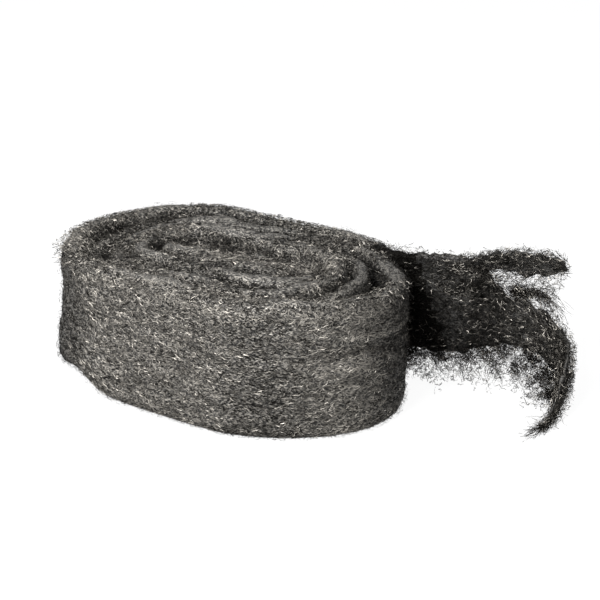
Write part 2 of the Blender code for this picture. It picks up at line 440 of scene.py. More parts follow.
def waves(rng, count, along, across):
    """Random waves, whose lengths along and across the strip lie between the two values given for each."""
    rates_along = math.tau / rng.uniform(*along, count) * rng.choice([-1, 1], count)
    rates_across = math.tau / rng.uniform(*across, count)
    starts = rng.uniform(0, math.tau, count)

    def value(s, v):
        total = 0.0
        for rate_s, rate_v, start in zip(rates_along, rates_across, starts):
            total = total + np.sin(rate_s * s + rate_v * v + start)
        return total / math.sqrt(count / 2)

    return value


def worn_depth(strip, rng):
    """How deep a ragged edge is worn, at each place along the strip."""
    run = (strip.wound - TURNS) * LOOSE_LENGTH
    return RAGGED_DEPTH * (0.5 + 0.5 * waves(rng, 6, RAGGED_WAVES, (1.0, 2.0))(run, 0.0))


def outward_degrees(strip):
    """The direction that the strip faces, as a column of degrees."""
    return np.degrees(np.arctan2(strip.outward[:, 1], strip.outward[:, 0]))[:, None]


def held_back(strip, rng, inset, most_share, notch_depth):
    """The strip with its loose end thinner and ragged, so that only fibres reach the loose end's edges."""
    loose = smooth((strip.wound - TURNS) / LOOSE_START)
    tall = strip.upper - strip.lower
    below = np.minimum(inset + worn_depth(strip, rng), most_share * tall) * loose
    above = np.minimum(worn_depth(strip, rng), RAGGED_SHARE * tall) * loose
    notch = notch_depth * bump((strip.wound - TURNS - NOTCH_WAY) / NOTCH_SPREAD) * loose
    edges = (strip.lower + below, strip.upper - above - notch)
    return Strip(strip.middle, strip.outward, strip.thickness * (1 - LOOSE_THINNING * loose), *edges,
                 strip.belly, strip.foot, strip.pinch, strip.wound)


def fold(strip, heights):
    """How near each place is to the fold's edge, and how deep in the shade under it, from 0 to 1."""
    turned = outward_degrees(strip)
    directions, edges = np.array(FOLD).T
    above = heights - np.interp(turned, directions, edges)
    outer = ((strip.wound > TURNS - 1) & (strip.wound < TURNS))[:, None]
    fade_in, fade_out = FOLD_FADES
    there = outer * smooth((turned - directions[0]) / fade_in)
    there = there * smooth((directions[-1] + fade_out - turned) / fade_out)
    edge = there * bump(above / FOLD_EDGE)
    head, foot = FOLD_SHADE_FADES
    under = smooth(-above / head) * smooth((above + FOLD_SHADE + foot) / foot)
    return edge, there * under * smooth((turned - FOLD_SHADE_START) / FOLD_SHADE_FADE)


def shaded_way(heights):
    """How far along the loose end the roll's deep shade reaches at that height."""
    return mix(*SHADED_WAYS, heights / STRIP_WIDTH)


def top_shade(flat):
    """How much painted light the top has there, below 0 for painted shade in its hollows."""
    total = 0.0
    for x, y, length, width, lighter in TOP_SHADES:
        total = total + lighter * bump((flat[..., 0] - x) / length) * bump((flat[..., 1] - y) / width)
    return total


def front_shade(strip, heights):
    """How much lighter the outer turn's front is there, as painted light and shade, with a painted highlight
    on its crest.
    """
    turned = outward_degrees(strip)
    total = 0.0
    high = smooth((heights - BAND_HEIGHT) / BAND_BLEND + 0.5)
    for middle, width, above, below in PAINTED_FRONT_BANDS:
        total = total + mix(below, above, high) * bump((turned - middle) / width)
    crest = smooth((heights - strip.upper[:, None] + CREST_DEPTH) / CREST_BLEND)
    return total + PAINTED_CREST_TILT * crest * smooth((CREST_END - turned) / CREST_FADE)


# The mat

def outer_columns():
    """Which of the section's points are on the strip's outer side."""
    return np.arange(COLUMNS)[None, :] < COLUMNS / 2


def outline(half, lower, upper):
    """COLUMNS points round the strip's section as (across, height), evenly, from the middle of its sole."""
    tall = upper - lower
    # The two roundings leave some straight side between them on a low section too
    below = min(EDGE_ROUNDING, SOLE_ROUNDING * half, tall / 3)
    above = min(TOP_ROUNDING * half, tall / 2.2)
    arc = np.linspace(0, math.pi / 2, CORNER_STEPS)
    right = [(0.0, lower)]
    right += [(half - below + below * math.sin(a), lower + below - below * math.cos(a)) for a in arc]
    right += [(half - above + above * math.cos(a), upper - above + above * math.sin(a)) for a in arc]
    right = np.array(right + [(0.0, upper)])
    whole = np.concatenate([right, (right * [-1, 1])[-2::-1]])
    run = run_along(whole)
    places = np.arange(COLUMNS) / COLUMNS * run[-1]
    return np.stack([np.interp(places, run, whole[:, k]) for k in range(2)], -1), run[-1]


class Surface:
    """The strip's skin as a grid of points, with its normals and how far apart they are."""

    def __init__(self, strip, rng):
        self.strip = strip
        count = len(strip.wound)
        self.points = np.zeros((count, COLUMNS, 3))
        self.round = np.zeros(count)
        self.heights = np.zeros((count, COLUMNS))
        for i in range(count):
            half = strip.thickness[i] / 2 - MAT_INSET
            section, self.round[i] = outline(half, strip.lower[i], strip.upper[i] - MAT_INSET)
            across, height = section[:, 0], section[:, 1]
            share = (height - strip.lower[i]) / (strip.upper[i] - strip.lower[i])
            lean = strip.belly[i] * np.sin(math.pi * share)
            lean = lean + strip.foot[i] * (1 - smooth(share / FOOT_HEIGHT))
            lean = lean - strip.pinch[i] * bump((height / STRIP_WIDTH - CREASE_HEIGHT) / CREASE_REACH)
            flat = strip.middle[i] + (across + lean)[:, None] * strip.outward[i]
            self.points[i] = np.column_stack([flat, height])
            self.heights[i] = height
        self.along = run_along(strip.middle)
        self.step = self.along[-1] / (count - 1)
        self.normals = self.find_normals()
        self.make_lumpy(rng)

    def find_normals(self):
        onwards = np.gradient(self.points, axis=0)
        round_it = np.roll(self.points, -1, 1) - np.roll(self.points, 1, 1)
        return unit(np.cross(round_it, onwards))

    def uneven(self, rng, count, most, along, across):
        """Random waves along and round the strip, at each point."""
        run_round = np.arange(COLUMNS)[None, :] / COLUMNS * self.round[:, None]
        return most * waves(rng, count, along, across)(self.along[:, None], run_round)

    def make_lumpy(self, rng):
        lumps = self.uneven(rng, *LUMPS)
        small = self.uneven(rng, *SMALL_LUMPS)
        top = self.uneven(rng, *TOP_WAVES)
        near_top = smooth(1 - (self.strip.upper[:, None] - self.heights) / TOP_WAVE_REACH)
        edge_of_fold, under_fold = fold(self.strip, self.heights)
        push = (lumps + small) * smooth(self.heights / FLAT_SOLE)
        push += FOLD_PUSH * (edge_of_fold - under_fold) * outer_columns()
        self.points += self.normals * push[..., None]
        self.points[..., 2] += top * near_top
        self.points[..., 2] = np.maximum(self.points[..., 2], 0.0)
        self.normals = self.find_normals()

    def areas(self):
        return self.step * self.round[:, None] / COLUMNS * np.ones((1, COLUMNS))

    def at(self, a, b):
        """The point and normal at those fractional rows and columns."""
        a = np.clip(a, 0, len(self.along) - 1.001)
        row, column = np.floor(a).astype(int), np.floor(b).astype(int)
        fa, fb = (a - row)[..., None], (b - column)[..., None]
        column %= COLUMNS
        beside = (column + 1) % COLUMNS
        points, normals = [between(grid, row, column, beside, fa, fb) for grid in (self.points, self.normals)]
        return points, unit(normals)


def mat_piece(name, surface, materials):
    """The surface as a closed mesh, with a map of distances along and round the strip.

    The second material, a darker copy that paints shade, is for the loose end, and the third, darker still,
    paints the roll's deep shade on the loose end's side that faces the roll's end.
    """
    rows, columns = surface.points.shape[:2]
    vertices = surface.points.reshape(-1, 3)
    i, j = np.meshgrid(np.arange(rows - 1), np.arange(columns), indexing="ij")
    following = (j + 1) % columns
    quads = np.stack([i * columns + j, i * columns + following, (i + 1) * columns + following,
                      (i + 1) * columns + j], -1).reshape(-1, 4)
    ends = [list(range(columns))[::-1], list(range((rows - 1) * columns, rows * columns))]
    mesh = bpy.data.meshes.new(name)
    mesh.from_pydata(vertices.tolist(), [], quads.tolist() + ends)
    width = surface.round[:, None] / columns
    corners = [(i, j), (i, j + 1), (i + 1, j + 1), (i + 1, j)]
    places = np.stack([np.stack([surface.along[r], c * width[r, 0]], -1) for r, c in corners], 2)
    layer = mesh.uv_layers.new(name="along_strip")
    values = np.zeros((len(mesh.loops), 2))
    values[:places.size // 2] = places.reshape(-1, 2)
    layer.data.foreach_set("uv", values.ravel())
    for material in materials:
        mesh.materials.append(material)
    way = surface.strip.wound - TURNS
    # Faces that get painted shade: the deep shade near the roll's end, and the lighter one over the rest of
    # the loose end
    shaded = (way > 0)[:-1, None] & (way[:-1, None] < shaded_way(surface.heights[:-1])) & ~outer_columns()
    loose = (way > 0)[:-1, None] & np.ones((1, columns), bool)
    chosen = np.where(shaded, 2, np.where(loose, 1, 0))
    mesh.polygons.foreach_set("material_index", np.append(chosen.ravel(), [0, 1]).astype(np.int32))
    mesh.shade_smooth()
    return add_object(name, mesh)


# Fibres

def ribbons(name, paths, normals, widths, twists, tones):
    """A piece of thin ribbons. paths and normals are (fibres, points, 3), and twists are angles."""
    count, length = paths.shape[:2]
    along = unit(np.gradient(paths, axis=1))
    side = unit(np.cross(along, normals))
    up = np.cross(side, along)
    side = side * np.cos(twists)[..., None] + up * np.sin(twists)[..., None]
    taper = mix(RIBBON_TIP, 1.0, np.sin(math.pi * np.linspace(0.08, 0.92, length)))
    finer = 1.16 - 0.1 * tones  # the lightest ones glint, so they are the finest
    half = (widths * finer)[:, None, None] / 2 * taper[None, :, None]
    vertices = np.stack([paths - side * half, paths + side * half], 2)
    vertices[..., 2] = np.maximum(vertices[..., 2], LOWEST)
    first = (np.arange(count)[:, None] * length + np.arange(length - 1)[None, :]) * 2
    quads = np.stack([first, first + 1, first + 3, first + 2], -1).reshape(-1, 4)
    mesh = bpy.data.meshes.new(name)
    mesh.vertices.add(count * length * 2)
    mesh.vertices.foreach_set("co", vertices.astype(np.float32).ravel())
    mesh.loops.add(quads.size)
    mesh.loops.foreach_set("vertex_index", quads.astype(np.int32).ravel())
    mesh.polygons.add(len(quads))
    mesh.polygons.foreach_set("loop_start", (np.arange(len(quads)) * 4).astype(np.int32))
    for k in range(len(STEEL_SHADES)):
        mesh.materials.append(bpy.data.materials[STEEL_NAME % k])
    mesh.polygons.foreach_set("material_index", np.repeat(tones, length - 1).astype(np.int32))
    mesh.update()
    mesh.validate()
    mesh.shade_smooth()
    piece = add_object(name, mesh)
    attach(piece, "root")


def pick_tones(rng, shares, tilts):
    """A tone for each fibre: lighter ones are likelier where its tilt is above 0, and darker ones below."""
    steps = np.arange(len(shares)) - (len(shares) - 1) / 2
    weights = np.array(shares) * np.exp(tilts[:, None] * steps)
    limits = np.cumsum(weights, 1) / weights.sum(1, keepdims=True)
    return np.minimum((rng.random((len(tilts), 1)) > limits).sum(1), len(shares) - 1)


def wander(rng, count, length, rate, most):
    """A smooth random angle along each of so many fibres, as sums of two waves."""
    t = np.arange(length)[None, :]
    total = 0.0
    for scale in (1.0, 0.5):
        waves_long = rng.uniform(0.6, 1.5, (count, 1)) * rate * scale
        total = total + np.sin(math.tau * t / waves_long + rng.uniform(0, math.tau, (count, 1)))
    return total * most / 2


def lying(rng, count, length, spread, wide_share, bend, step):
    """Angles from the strip's direction along each fibre, and its steps. A wide share lies at any angle."""
    lean = np.radians(rng.normal(0, spread, (count, 1)))
    wide = rng.random((count, 1)) < wide_share
    lean = np.where(wide, rng.uniform(-math.pi / 2, math.pi / 2, (count, 1)), lean)
    angle = lean + wander(rng, count, length, 4.0, math.radians(bend))
    return angle, step * rng.uniform(*STEP_SPREAD, (count, 1))


def pick_cells(rng, count, weights):
    chance = weights.ravel()
    return rng.choice(chance.size, count, p=chance / chance.sum())


def laid_fibres(name, surface, rng, count, weights, tilts, shares, segments=3, step=0.00095,
                spread=24.0, bend=38.0, lift=(-0.0005, 0.0006), sway=0.0005, width=(0.00021, 0.00042)):
    """Fibres that follow the surface along the strip, and dip under it and rise from it."""
    cell = pick_cells(rng, count, surface.areas() * weights)
    length = segments + 1
    angle, steps = lying(rng, count, length, spread, WIDE_SHARE, bend, step)
    row = cell[:, None] // COLUMNS
    gone_along = np.cumsum(np.cos(angle) * steps, 1)
    gone_round = np.cumsum(np.sin(angle) * steps, 1)
    middle = segments // 2
    a = row + rng.random((count, 1)) + (gone_along - gone_along[:, middle:middle + 1]) / surface.step
    column_step = surface.round[row] / COLUMNS
    b = cell[:, None] % COLUMNS + rng.random((count, 1))
    b = b + (gone_round - gone_round[:, middle:middle + 1]) / column_step
    points, normals = surface.at(a, b)
    height = rng.uniform(*lift, (count, 1)) + wander(rng, count, length, 5.0, sway)
    points = points + normals * height[..., None]
    twists = rng.normal(0, 0.5, (count, 1)) + wander(rng, count, length, 5.0, 0.7)
    widths = rng.uniform(*width, count)
    tones = pick_tones(rng, shares, tilts.ravel()[cell])
    ribbons(name, points, normals, widths, twists, tones)


def free_fibres(name, starts, headings, rng, shares, segments, step, curl, width, droop=0.0,
                centred=False, rate=5.0, tilts=0.0):
    """Fibres that curl through the air from given points, or through them, in given directions."""
    count = len(starts)
    t = segments + 1
    forward = unit(headings)
    helper = unit(rng.normal(size=(count, 3)))
    right = unit(np.cross(forward, helper))
    up = np.cross(right, forward)
    yaw = wander(rng, count, t, rate, curl)
    yaw = yaw + np.cumsum(rng.normal(0, curl / 6, (count, 1)) * np.ones((1, t)), 1)
    pitch = wander(rng, count, t, rate + 1, curl)
    direction = (forward[:, None] * (np.cos(yaw) * np.cos(pitch))[..., None]
                 + right[:, None] * (np.sin(yaw) * np.cos(pitch))[..., None]
                 + up[:, None] * np.sin(pitch)[..., None])
    steps = step * rng.uniform(0.6, 1.4, (count, 1, 1))
    points = starts[:, None] + np.cumsum(direction * steps, 1) - direction[:, :1] * steps
    if centred:
        points += (starts - points[:, segments // 2])[:, None]
    points[..., 2] -= droop * (np.arange(t) / segments)[None, :] ** 2
    points[..., 2] = np.maximum(points[..., 2], LOWEST_FREE)
    normals = np.broadcast_to(helper[:, None], points.shape)
    twists = wander(rng, count, t, 6.0, 1.2)
    widths = rng.uniform(*width, count)
    tones = pick_tones(rng, shares, np.zeros(count) + tilts)
    ribbons(name, points, normals, widths, twists, tones)


class Web:
    """A smooth sheet over the turns' tops, from one turn to the next, on a grid of cells."""

    def __init__(self, strip):
        turned = strip.wound < TURNS
        middle, outward = strip.middle[turned], strip.outward[turned]
        self.low = middle.min(0) - WEB_MARGIN
        self.shape = tuple(np.ceil((middle.max(0) + WEB_MARGIN - self.low) / WEB_CELL).astype(int))
        top = np.zeros(self.shape)
        flow = np.zeros(self.shape + (2,))
        half = STRIP_THICKNESS / 2
        for across in np.linspace(-half, half, WEB_SECTION_STEPS):
            height = strip.upper[turned] - half * (1 - math.sqrt(max(0.0, 1 - (across / half) ** 2)))
            cells = self.cells(middle + across * outward)
            np.maximum.at(top, cells, height)
            np.add.at(flow, cells, np.stack([outward[:, 1], -outward[:, 0]], -1))
        self.fullness = self.blurred((top > 0).astype(float), WEB_BLUR)
        highest = top
        for _ in range(WEB_GROWTH):
            beside = [np.roll(highest, way, axis) for axis in (0, 1) for way in (-1, 1)]
            highest = np.maximum.reduce([highest] + beside)
        places = self.low + np.stack(np.indices(self.shape), -1) * WEB_CELL
        hollow = np.minimum(top_shade(places), 0.0)
        self.height = self.levelled(highest, WEB_BLUR) - WEB_DROP + HOLLOW_DEPTH * hollow
        self.relief = self.levelled(highest, WEB_BLUR) - self.levelled(highest, WEB_WIDE_BLUR)
        self.flow = np.stack([self.blurred(flow[..., k], WEB_BLUR) for k in range(2)], -1)

    def cells(self, flat):
        cell = np.round((flat - self.low) / WEB_CELL).astype(int)
        return tuple(np.clip(cell, 0, np.array(self.shape) - 1).T)

    def levelled(self, tops, spread):
        """The blurred height of what is covered."""
        covered = self.blurred((tops > 0).astype(float), spread)
        return self.blurred(tops, spread) / np.maximum(covered, 0.02)

    def blurred(self, field, spread):
        reach = math.ceil(3 * spread / WEB_CELL)
        weights = np.exp(-0.5 * (np.arange(-reach, reach + 1) * WEB_CELL / spread) ** 2)
        weights /= weights.sum()
        for axis in (0, 1):
            field = np.apply_along_axis(np.convolve, axis, field, weights, "same")
        return field

    def at(self, flat):
        """The sheet's height there, between the cells."""
        cell = np.clip((flat - self.low) / WEB_CELL, 0, np.array(self.shape) - 1.001)
        i, j = np.floor(cell).astype(int)[..., 0], np.floor(cell).astype(int)[..., 1]
        return between(self.height, i, j, j + 1, cell[..., 0] - i, cell[..., 1] - j)


def add_web_fibres(web, rng, count):
    """Fibres that cross from turn to turn over the top, thinner where the turns stand apart."""
    length = 4
    least, more = WEB_FULLNESS
    cell = pick_cells(rng, count, np.clip((web.fullness - least) / more, 0.0, 1.0))
    corner = np.stack(np.unravel_index(cell, web.shape), -1)
    start = web.low + (corner + rng.random((count, 2)) - 0.5) * WEB_CELL
    flow = web.flow.reshape(-1, 2)[cell]
    angle, steps = lying(rng, count, length, spread=36.0, wide_share=WEB_WIDE_SHARE, bend=38.0, step=0.00088)
    angle = angle + np.arctan2(flow[:, 1:], flow[:, :1])
    flat = start[:, None] + np.cumsum(heading(angle) * steps[..., None], 1)
    height = web.at(flat) + rng.uniform(-0.0008, 0.0008, (count, 1)) + wander(rng, count, length, 4.0, 0.0005)
    paths = np.concatenate([flat, height[..., None]], -1)
    normals = np.broadcast_to(np.array([0.0, 0.0, 1.0]), paths.shape)
    twists = rng.normal(0, 0.6, (count, 1)) + wander(rng, count, length, 5.0, 0.7)
    widths = rng.uniform(0.00026, 0.00050, count)
    # Painted light on the web's ridges and painted shade in its hollows and the top's
    tilts = WEB_RELIEF_TILT * np.clip(web.relief.ravel()[cell] / WEB_RELIEF, -1, 1)
    tilts = tilts + top_shade(start) + TOP_TILT
    ribbons("web", paths, normals, widths, twists, pick_tones(rng, WEB_TONES, tilts))


def loose_fibres(name, strip, rng, count, weights, shares, sides=(-0.55, 0.55), skew=1.0):
    """Fibres all through a loose end, which flow along it and draw together as it narrows.

    A skew below 1 puts more of them near its upper edge, and one above 1 near its lower edge.
    """
    row = pick_cells(rng, count, (strip.upper - strip.lower) * weights)
    share = rng.random(count) ** skew
    height = mix(strip.lower[row], strip.upper[row], share) + rng.normal(0, 0.0010, count)
    across = rng.uniform(*sides, count) * strip.thickness[row]
    outward = strip.outward[row]
    flat = strip.middle[row] + across[:, None] * outward
    run = run_along(strip.middle)
    rise = mix(np.gradient(strip.lower, run)[row], np.gradient(strip.upper, run)[row], share)
    starts = np.column_stack([flat, height])
    headings = unit(ahead(outward, rise)) + 0.42 * rng.normal(size=(count, 3))
    free_fibres(name, starts, headings, rng, shares, segments=4, step=0.0010, curl=0.8,
                width=(0.00020, 0.00038), centred=True)


def add_fuzz(surface, rng, count, weights, tilts):
    """Loose ends that stand out of the wool and soften its outline."""
    cell = pick_cells(rng, count, surface.areas() * weights)
    a = cell // COLUMNS + rng.random(count)
    b = cell % COLUMNS + rng.random(count)
    points, normals = surface.at(a, b)
    further, _ = surface.at(a + 0.5, b)
    along = unit(further - points) * rng.choice([-1, 1], (count, 1))
    lean = along + rng.uniform(0.6, 2.2, (count, 1)) * normals + 0.4 * rng.normal(size=(count, 3))
    starts = points - normals * 0.0003
    free_fibres("fuzz", starts, lean, rng, FUZZ_TONES, segments=3, step=0.0010, curl=0.9,
                width=(0.00010, 0.00022), tilts=tilts.ravel()[cell])


def add_gap_fibres(strip, rng):
    """Fibres inside the pockets between the turns, in dark tones that paint the shade there."""
    count = 2200
    direction = np.arctan2(strip.outward[:, 1], strip.outward[:, 0])
    gaps = np.zeros(len(direction))
    for turn, middle, spread, most in OPENINGS:
        passed = ((PULL_AWAY - middle) / math.tau) % 1.0 + turn - 1
        beyond = np.abs(strip.wound - passed - 1.0) < 0.4
        gaps += beyond * most * bump(turned_from(direction, middle) / spread)
    row = pick_cells(rng, count, gaps)
    inwards = strip.thickness[row] / 2 + rng.random(count) * gaps[row]
    flat = strip.middle[row] - inwards[:, None] * strip.outward[row]
    starts = np.column_stack([flat, rng.uniform(0.002, 0.058, count)])
    lean = rng.normal(size=(count, 3)) * (1.0, 1.0, 0.4)
    free_fibres("gap_fibres", starts, lean, rng, GAP_PAINTED_SHADE_TONES, segments=4, step=0.0015, curl=0.8,
                width=(0.0003, 0.0005), centred=True)


def add_fringe(strip, rng):
    """A thin curly net in uneven clumps that hangs from the loose end's worn lower edge to the surface."""
    count, tries = 3400, 20000
    chosen = np.flatnonzero((strip.wound > TURNS + 0.04) & (strip.wound < TURNS + 0.86))
    row = rng.choice(chosen, tries)
    fall = rng.random(tries)
    run = (strip.wound[row] - TURNS) * LOOSE_LENGTH
    clumps = waves(rng, 14, (0.006, 0.026), (0.7, 2.0))(run, fall)
    likely = smooth(0.68 + 0.18 * clumps - 0.58 * fall) * (fall < 0.9)
    kept = np.flatnonzero(rng.random(tries) < likely)[:count]
    row, fall = row[kept], fall[kept]
    height = mix(strip.lower[row] + 0.004, 0.0008, fall)
    forward = -0.003 - 0.022 * fall * rng.random(count)
    flat = strip.middle[row] + (forward + rng.normal(0, 0.002, count))[:, None] * strip.outward[row]
    starts = np.column_stack([flat, height])
    along = ahead(strip.outward[row], 0.0) * rng.choice([-1, 1], (count, 1))
    lean = along + 0.8 * rng.normal(size=(count, 3))
    free_fibres("fringe", starts, lean, rng, FRINGE_TONES, segments=8, step=0.0011, curl=1.9,
                width=(0.00020, 0.00038), rate=9.0)


def add_notch_net(lower_strip, upper_strip, rng):
    """Fibres that still span the notch between the two tufts."""
    count = 900
    gone = rng.beta(1.0, 1.8, count) * 0.028
    ends = []
    for strip, edge, length in ((lower_strip, lower_strip.upper, LOWER_TUFT_LENGTH),
                                (upper_strip, upper_strip.lower, UPPER_TUFT_LENGTH)):
        wound = TURNS + (TAIL_LENGTH + gone) / (TAIL_LENGTH + length)
        row = np.clip(np.searchsorted(strip.wound, wound), 0, len(strip.wound) - 1)
        ends.append(np.column_stack([strip.middle[row], edge[row]]))
    share = rng.uniform(-0.1, 1.1, (count, 1))
    starts = mix(ends[0], ends[1], share) + rng.normal(0, 0.0012, (count, 3))
    row = np.searchsorted(lower_strip.wound, TURNS + (TAIL_LENGTH + gone) / LOOSE_LENGTH)
    row = np.clip(row, 0, len(lower_strip.wound) - 1)
    lean = unit(ahead(lower_strip.outward[row], -0.6)) + 0.5 * rng.normal(size=(count, 3))
    free_fibres("notch_net", starts, lean, rng, NOTCH_NET_TONES, segments=5, step=0.0012, curl=1.0,
                width=(0.00020, 0.00036), centred=True)


def add_notch_strand(strip, rng):
    """A strand that curls out of the notch between the two tufts."""
    count = 40
    row = np.searchsorted(strip.wound, TURNS + (TAIL_LENGTH + 0.016) / LOOSE_LENGTH)
    outward = strip.outward[row]
    start = np.append(strip.middle[row], strip.upper[row] + 0.002)
    starts = start + rng.normal(0, 0.0013, (count, 3))
    lean = np.array([outward[1], -outward[0], 0.1]) + 0.16 * rng.normal(size=(count, 3))
    free_fibres("notch_strand", starts, lean, rng, NOTCH_STRAND_TONES, segments=12, step=0.0013,
                curl=0.35, droop=0.008, width=(0.00016, 0.00028))


def add_tip_wisps(strip, rng):
    """Thin ends that run on from the lower tuft's tip, on the surface."""
    count = 160
    last = len(strip.wound) - 1 - rng.integers(0, 8, count)
    outward = strip.outward[last]
    along = ahead(outward, -0.05) - (0.35, 0.0, 0.0)
    flat = strip.middle[last] + rng.normal(0, 0.0012, (count, 1)) * outward
    starts = np.column_stack([flat, rng.uniform(0.0004, 0.005, count)])
    lean = along + 0.22 * rng.normal(size=(count, 3))
    free_fibres("tip_wisps", starts, lean, rng, TIP_TONES, segments=9, step=0.0013, curl=0.4,
                droop=0.002, width=(0.00016, 0.00028))


# Materials

def warm(light):
    return tuple(light * share for share in WARMTH) + (1.0,)


def new_material(name, values):
    """A material whose shader has those constant values on its inputs."""
    material = bpy.data.materials.new(name)
    material.use_nodes = True
    for socket, value in values.items():
        material.node_tree.nodes["Principled BSDF"].inputs[socket].default_value = value
    return material


def add_steels():
    """Bare steel in five tones. A fibre is thinner than any pattern on it, so tones vary between fibres."""
    for k, shade in enumerate(STEEL_SHADES):
        values = {"Base Color": warm(shade), "Metallic": 1.0, "Roughness": STEEL_ROUGHNESS}
        new_material(STEEL_NAME % k, values)


def add_node(tree, kind, values):
    node = tree.nodes.new("ShaderNode" + kind)
    for socket, value in values.items():
        node.inputs[socket].default_value = value
    return node


def rippled_place(tree):
    """The place along and round the strip, shifted by a slow ripple so that the streaks are wavy."""
    place = add_node(tree, "UVMap", {})
    place.uv_map = "along_strip"
    ripple = add_node(tree, "TexNoise", {"Scale": RIPPLES, "Detail": 1.0})
    tree.links.new(place.outputs["UV"], ripple.inputs["Vector"])
    centred = add_node(tree, "VectorMath", {1: (0.5, 0.5, 0.5)})
    centred.operation = "SUBTRACT"
    tree.links.new(ripple.outputs["Color"], centred.inputs[0])
    shift = add_node(tree, "VectorMath", {1: RIPPLE_SHIFT})
    shift.operation = "MULTIPLY_ADD"
    tree.links.new(centred.outputs["Vector"], shift.inputs[0])
    tree.links.new(place.outputs["UV"], shift.inputs[2])
    return shift.outputs["Vector"]


def streak_height(tree):
    """The highest of the streaks at each place."""
    place = rippled_place(tree)
    height = None
    for slant, along, across in STREAKS:
        turned = add_node(tree, "Mapping", {"Rotation": (0.0, 0.0, slant)})
        tree.links.new(place, turned.inputs["Vector"])
        stretched = add_node(tree, "Mapping", {"Scale": (along, across, 1.0)})
        tree.links.new(turned.outputs["Vector"], stretched.inputs["Vector"])
        streaks = add_node(tree, "TexNoise", {"Scale": 1.0, "Detail": 2.0})
        tree.links.new(stretched.outputs["Vector"], streaks.inputs["Vector"])
        if height is None:
            height = streaks.outputs["Fac"]
            continue
        highest = add_node(tree, "Math", {})
        highest.operation = "MAXIMUM"
        tree.links.new(height, highest.inputs[0])
        tree.links.new(streaks.outputs["Fac"], highest.inputs[1])
        height = highest.outputs["Value"]
    return height


def mat_material(name, light, metallic=0.6):
    """Packed wool seen between the fibres: wavy dark and light streaks along the strip, at three slants."""
    material = new_material(name, {"Metallic": metallic})
    tree = material.node_tree
    shader = tree.nodes["Principled BSDF"]
    height = streak_height(tree)

    colours = add_node(tree, "ValToRGB", {})
    for stop, level, colour in zip(colours.color_ramp.elements, STREAK_LEVELS, (STREAK_DARK, warm(light))):
        stop.position = level
        stop.color = colour
    tree.links.new(height, colours.inputs["Fac"])
    tree.links.new(colours.outputs["Color"], shader.inputs["Base Color"])
    shine = add_node(tree, "MapRange", {"From Min": 0.4, "From Max": 0.75, "To Min": 0.8, "To Max": 0.4})
    tree.links.new(height, shine.inputs["Value"])
    tree.links.new(shine.outputs["Result"], shader.inputs["Roughness"])
    relief = add_node(tree, "Bump", {"Strength": 0.8, "Distance": STREAK_BUMP})
    tree.links.new(height, relief.inputs["Height"])
    tree.links.new(relief.outputs["Normal"], shader.inputs["Normal"])
    return material


def floor_material():
    return new_material("pale_floor", {
        "Base Color": (FLOOR_SHADE, FLOOR_SHADE, FLOOR_SHADE, 1.0),
        "Roughness": 0.6,
        "Specular IOR Level": 0.0,
        "Emission Color": (1.0, 1.0, 1.0, 1.0),
        "Emission Strength": FLOOR_GLOW,
    })


# Stage

def aim(made, azimuth, elevation, distance):
    """Moves it that far from the roll's middle, and turns it to face that."""
    look = Vector((-math.sin(azimuth) * math.cos(elevation), math.cos(azimuth) * math.cos(elevation),
                   -math.sin(elevation)))
    made.location = Vector(AIM) - look * distance
    made.rotation_euler = look.to_track_quat("-Z", "Y").to_euler()


def add_floor():
    bpy.ops.mesh.primitive_plane_add(size=FLOOR_SIZE)
    floor = bpy.context.object
    floor.name = "floor"
    floor.data.materials.append(floor_material())


def add_camera():
    data = bpy.data.cameras.new("camera")
    data.lens = LENS
    data.sensor_width = SENSOR
    camera = add_object("camera", data)
    aim(camera, AZIMUTH, ELEVATION, DISTANCE)
    bpy.context.scene.camera = camera


def add_area_light(name, azimuth, elevation, distance, size, power):
    """A square soft light. Its azimuth is counted in degrees from the camera's, to the left."""
    data = bpy.data.lights.new(name, "AREA")
    data.size = size
    data.energy = power
    aim(add_object(name, data), AZIMUTH - math.radians(azimuth), math.radians(elevation), distance)


def add_ceiling(strength):
    """Very soft light straight from above."""
    data = bpy.data.lights.new("ceiling", "SUN")
    data.energy = strength
    data.angle = math.radians(70)
    add_object("ceiling", data)


def add_lights():
    world = bpy.context.scene.world or bpy.data.worlds.new("studio")
    bpy.context.scene.world = world
    world.use_nodes = True
    background = world.node_tree.nodes["Background"]
    background.inputs["Color"].default_value = (1.0, 1.0, 1.0, 1.0)
    background.inputs["Strength"].default_value = 1.0
    add_area_light("key", azimuth=38, elevation=40, distance=1.3, size=0.5, power=82.0)
    add_area_light("fill", azimuth=8, elevation=16, distance=1.6, size=0.7, power=21.0)
    add_ceiling(strength=3.0)


# The whole

def find_place(strips):
    """How far the strips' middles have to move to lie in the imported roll's box."""
    edges = []
    for strip in strips:
        half = strip.thickness / 2
        swelling = np.maximum(strip.belly, strip.foot)
        edges += [strip.middle + (half + swelling)[:, None] * strip.outward,
                  strip.middle - half[:, None] * strip.outward]
    edges = np.concatenate(edges)
    low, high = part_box("wool_roll")
    return (np.array(low[:2]) + np.array(high[:2])) / 2 - (edges.min(0) + edges.max(0)) / 2


def add_mats(roll, tuft):
    # The roll's own mat, and two darker copies that paint shade: over the loose end, and, fully metallic so
    # that it reflects less, the roll's deep shade on it
    packed = (mat_material("wool_mat", MAT_LIGHT), mat_material("wool_mat_loose_painted_shade", PAINTED_SHADE_LOOSE_MAT_LIGHT),
              mat_material("wool_mat_in_shade", SHADED_MAT_LIGHT, metallic=1.0))
    for name, surface in (("wool_mat", roll), ("upper_tuft_mat", tuft)):
        piece = mat_piece(name, surface, packed)
        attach(piece, "root")
        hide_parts("wool_roll")


